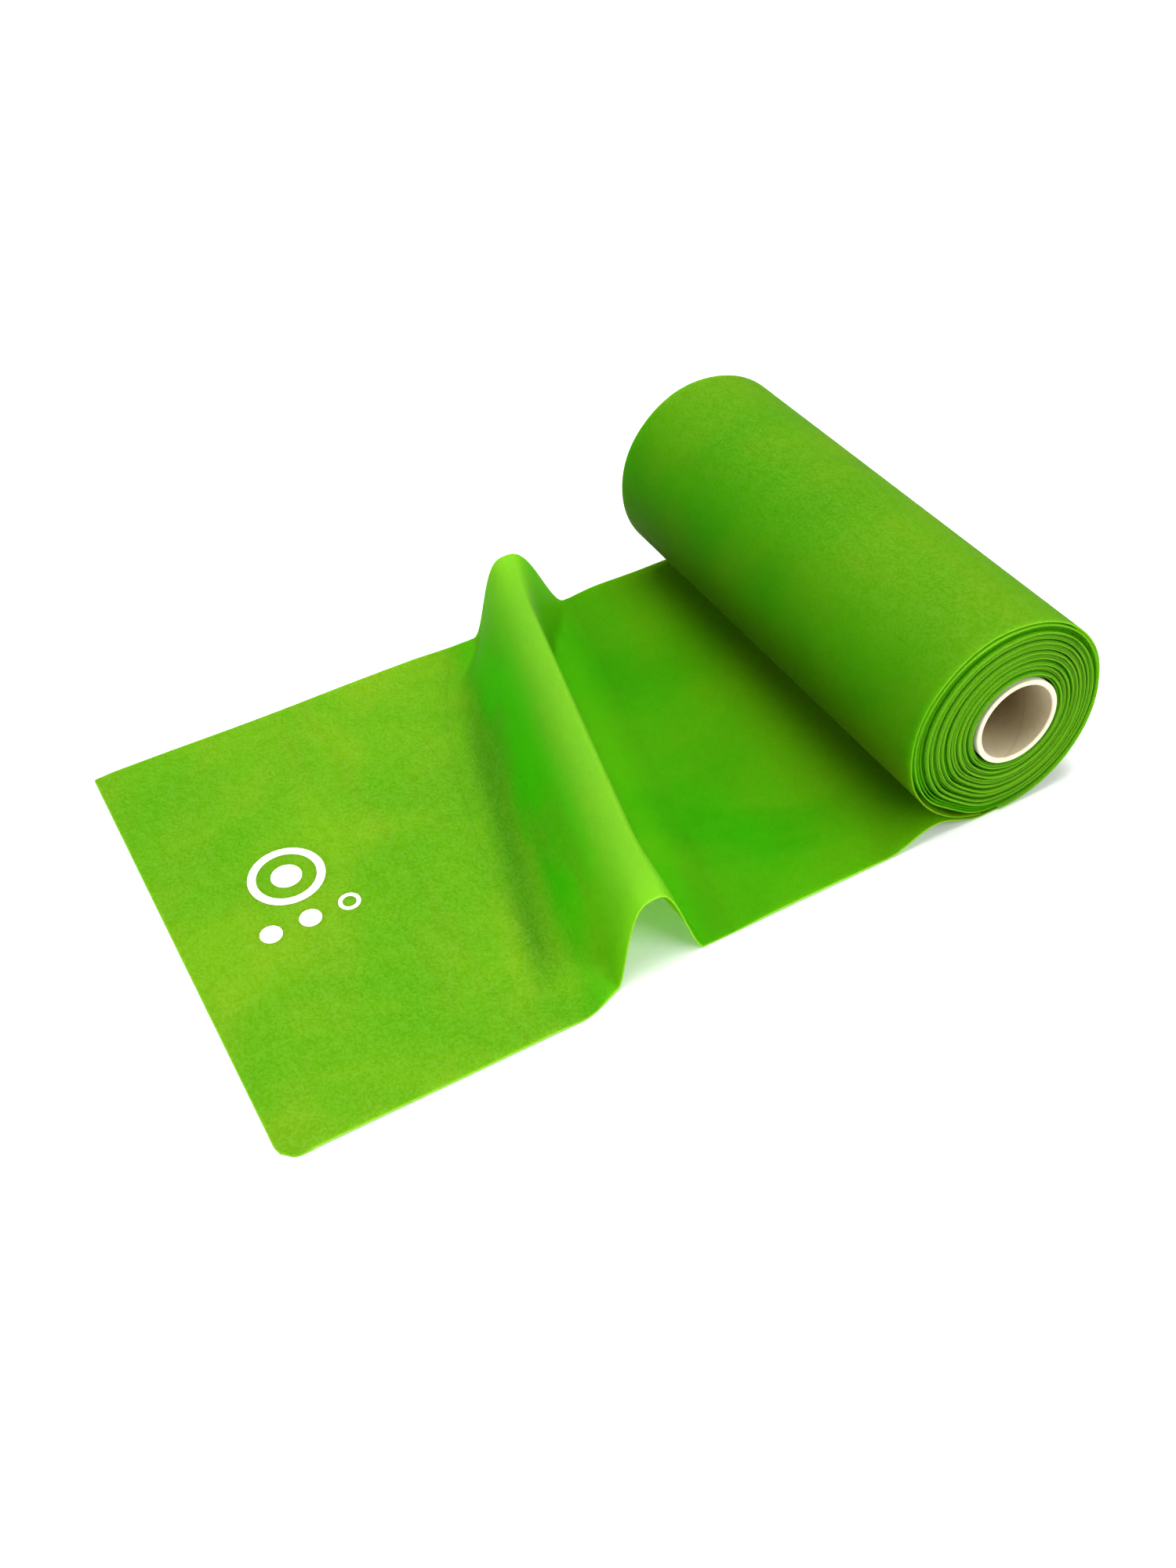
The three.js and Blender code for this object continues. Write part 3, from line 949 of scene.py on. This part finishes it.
def card_material():
    """Cream-white card: a spiral seam of the paper plies, fibres, stains, a paler rim with the
    plies' lines, and a browner bore, darkened deep inside with painted shade and paler at its mouth."""
    s = Shader("core_card")
    place = s.object_place()
    x, y, z = s.split(place)
    y = s.minus(y, CORE_Y)
    z = s.minus(z, CORE_Z)
    turn = s.math("DIVIDE", s.math("ARCTAN2", z, y), 2 * math.pi)
    seam = s.math("FRACT", s.plus(turn, s.math("DIVIDE", x, SEAM_PITCH)))
    from_seam = s.math("ABSOLUTE", s.minus(seam, 0.5))
    seam_line = s.ramp(from_seam, 0.0, SEAM_HALF_WIDTH, 1.0, 0.0)
    radius = s.math("SQRT", s.plus(s.times(y, y), s.times(z, z)))
    plies = s.math("SINE", s.times(radius, 2 * math.pi / PLY_THICKNESS))
    fibres = s.noise(place, **FIBRES)
    stains = s.noise(place, **STAINS)
    from_middle = s.math("ABSOLUTE", x)
    half = CORE_LENGTH / 2
    at_end = s.ramp(from_middle, half - END_RIM_TINT[0], half - END_RIM_TINT[1])
    mouth = s.ramp(from_middle, half - MOUTH_SHADE_FADE[0], half - MOUTH_SHADE_FADE[1])
    inside = s.ramp(radius, CORE_RADIUS - BORE_TINT[0], CORE_RADIUS - BORE_TINT[1], 1.0, 0.0)

    # Painted shade: the bore darker deeper inside, paler at its mouth.
    bore = s.mix(mouth, CARD_BORE_DEEP_SHADE, CARD_BORE_MOUTH)
    colour = s.mix(inside, CARD, bore)
    colour = s.mix(at_end, colour, CARD_END)
    colour = s.mix(s.times(s.ramp(stains, 0.45, 0.75), 0.25), colour, CARD_STAIN)
    colour = s.mix(s.times(fibres, 0.18), colour, CARD_FIBRE)
    colour = s.mix(s.times(seam_line, 0.14), colour, CARD_SEAM)
    rings = s.times(at_end, s.ramp(plies, 0.4, 1.0, 0.0, 0.22))
    colour = s.mix(rings, colour, CARD_PLY)

    height = s.plus(s.times(fibres, 0.6), s.times(seam_line, -0.4))
    roughness = s.ramp(fibres, *NOISE_RANGE, *CARD_ROUGHNESS)
    body = s.body(colour, roughness, s.bump(height, CARD_DEPTH, strength=0.7))
    body.inputs["Specular IOR Level"].default_value = CARD_SPECULAR
    return s.material


TAPE_WHITE = srgb(238, 236, 226)
TAPE_DIRT = srgb(206, 200, 180)
CREPE = dict(scale=1, detail=2.0, roughness=0.5, stretch=(300, 2400, 2400))
DIRT = dict(scale=220, detail=3.0, roughness=0.6)
CREPE_DEPTH = 0.04 * MM
TAPE_ROUGHNESS = (0.38, 0.55)


def tape_material():
    """White tape with a soft satin finish and a faint crepe."""
    s = Shader("white_tape")
    place = s.object_place()
    crepe = s.noise(place, **CREPE)
    dirt = s.noise(place, **DIRT)
    colour = s.mix(s.ramp(dirt, 0.5, 0.8, 0.0, 0.4), TAPE_WHITE, TAPE_DIRT)
    roughness = s.ramp(crepe, *NOISE_RANGE, *TAPE_ROUGHNESS)
    s.body(colour, roughness, s.bump(crepe, CREPE_DEPTH, strength=0.6))
    return s.material


INK_WHITE = srgb(250, 251, 246)
INK_THIN = srgb(206, 228, 170)
INK_RUBBED = srgb(224, 236, 200)
THIN_PLACES = dict(scale=900, detail=3.0, roughness=0.6)
RUBBED_PLACES = dict(scale=160, detail=3.0, roughness=0.6)
INK_DEPTH = 0.02 * MM
INK_ROUGHNESS = (0.42, 0.6)


def ink_material():
    """White screen-printing ink, thin in places, so that a little green shows through."""
    s = Shader("white_ink")
    place = s.uv(UV_NAME)
    thin = s.noise(place, **THIN_PLACES)
    rubbed = s.noise(place, **RUBBED_PLACES)
    colour = s.mix(s.ramp(thin, 0.55, 0.8, 0.0, 0.35), INK_WHITE, INK_THIN)
    colour = s.mix(s.ramp(rubbed, 0.6, 0.8, 0.0, 0.25), colour, INK_RUBBED)
    roughness = s.ramp(rubbed, *NOISE_RANGE, *INK_ROUGHNESS)
    s.body(colour, roughness, s.bump(thin, INK_DEPTH, strength=0.5))
    return s.material


def dress(obj, material):
    """Gives an object one material, in place of any it has."""
    obj.data.materials.clear()
    obj.data.materials.append(material)
    return obj


# ---------------------------------------------------------------- assembly

latex = latex_material()
LIFT_END = LIFT_Y - BEND_LENGTH

wound, wound_length = wound_turns()
dress(wound, latex)
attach(wound, "roll")
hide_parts("wound_turns")

outer, outer_length = lead_and_outer_turn()
dress(outer, latex)
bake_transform(outer)
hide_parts("band_lead", "outer_turn", "tail_panel")

ripple, ripple_uv = laid_sheet("band_ripple", front_line, back_line, rows=150)
dress(ripple, latex)
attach(ripple, "laid_band")
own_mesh(ripple)
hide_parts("ripple")

front, front_uv = laid_sheet("band_front", straight(LIFT_Y), front_line, rows=48)
dress(front, latex)
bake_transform(front)
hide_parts("front_panel")

bend, _ = laid_sheet("band_lift_line", straight(LIFT_END), straight(LIFT_Y), rows=22)
dress(bend, latex)
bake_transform(bend)

stretch, _ = laid_sheet(
    "band_free_end", straight(FREE_END_Y), straight(LIFT_END), rows=56, round_first=True
)
dress(stretch, latex)
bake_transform(stretch)
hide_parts("free_end_panel", "grip_end")

mark = dress(printed_mark(), ink_material())
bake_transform(mark)

dress(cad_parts["core_tube"], card_material())
dress(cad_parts["inner_end_tape"], tape_material())

# ---------------------------------------------------------------- floor, light and camera

FLOOR_HALF = 3.0
FLOOR_DROP = 0.02 * MM
FLOOR_GREY = 0.9
FLOOR_GLOW = 0.05
WORLD_STRENGTH = 0.46
LIGHT_SIZE = 0.8
# Name, place and energy of each light. All of them face the origin.
LIGHTS = (
    ("key", (-0.1, 0.08, 1.2), 23),
    ("fill", (1.1, 0.65, 0.6), 13),
    ("front", (0.0, -1.1, 0.9), 4.5),
)


def floor_material():
    """Matt and pale, with a faint glow of its own that keeps the shadows soft."""
    s = Shader("pale_floor")
    body = s.add("ShaderNodeBsdfPrincipled")
    body.inputs["Base Color"].default_value = (FLOOR_GREY, FLOOR_GREY, FLOOR_GREY, 1)
    body.inputs["Roughness"].default_value = 0.9
    body.inputs["Specular IOR Level"].default_value = 0.1
    body.inputs["Emission Color"].default_value = (1, 1, 1, 1)
    body.inputs["Emission Strength"].default_value = FLOOR_GLOW
    s.put(body.outputs[0], s.output.inputs["Surface"])
    return s.material


def make_floor():
    """One large square, just under the part."""
    mesh = bpy.data.meshes.new("floor")
    signs = [(-1, -1), (1, -1), (1, 1), (-1, 1)]
    corners = [(FLOOR_HALF * x, FLOOR_HALF * y, -FLOOR_DROP) for x, y in signs]
    mesh.from_pydata(corners, [], [(0, 1, 2, 3)])
    return dress(link(bpy.data.objects.new("floor", mesh)), floor_material())


def area_light(name, place, energy):
    """A square white light that faces the origin."""
    data = bpy.data.lights.new(name, "AREA")
    data.shape = "SQUARE"
    data.size = LIGHT_SIZE
    data.energy = energy
    light = link(bpy.data.objects.new(name, data))
    light.location = place
    light.rotation_mode = "QUATERNION"
    light.rotation_quaternion = (-Vector(place)).to_track_quat("-Z", "Y")


def make_world(strength):
    """An even white sky."""
    world = bpy.data.worlds.new("studio")
    world.use_nodes = True
    background = world.node_tree.nodes["Background"]
    background.inputs["Color"].default_value = (1.0, 1.0, 1.0, 1)
    background.inputs["Strength"].default_value = strength
    bpy.context.scene.world = world


CAMERA_AIM = Vector((5.0 * MM, 1.4 * MM, 0))
CAMERA_DISTANCE = 489.9 * MM
CAMERA_AZIMUTH = math.radians(67.35)
CAMERA_ELEVATION = math.radians(42.0)
CAMERA_ROLL = math.radians(-7.75)
CAMERA_LENS = 40.58
SENSOR_WIDTH = 36
CLIP_START = 0.01


def make_camera():
    """The photograph's viewing angle. The camera is turned a little about its own axis."""
    data = bpy.data.cameras.new("camera")
    data.lens = CAMERA_LENS
    data.sensor_width = SENSOR_WIDTH
    data.clip_start = CLIP_START
    camera = link(bpy.data.objects.new("camera", data))
    flat = math.cos(CAMERA_ELEVATION)
    back = Vector((
        math.sin(CAMERA_AZIMUTH) * flat,
        -math.cos(CAMERA_AZIMUTH) * flat,
        math.sin(CAMERA_ELEVATION),
    ))
    right = Vector((math.cos(CAMERA_AZIMUTH), math.sin(CAMERA_AZIMUTH), 0))
    up = back.cross(right)
    c, s = math.cos(CAMERA_ROLL), math.sin(CAMERA_ROLL)
    rolled_right = right * c + up * s
    rolled_up = up * c - right * s
    turned = Matrix((rolled_right, rolled_up, back)).transposed().to_4x4()
    camera.matrix_world = Matrix.Translation(CAMERA_AIM + back * CAMERA_DISTANCE) @ turned
    bpy.context.scene.camera = camera


make_floor()
make_world(WORLD_STRENGTH)
for light_name, light_place, light_energy in LIGHTS:
    area_light(light_name, light_place, light_energy)
make_camera()
bpy.context.scene.view_settings.view_transform = "Standard"
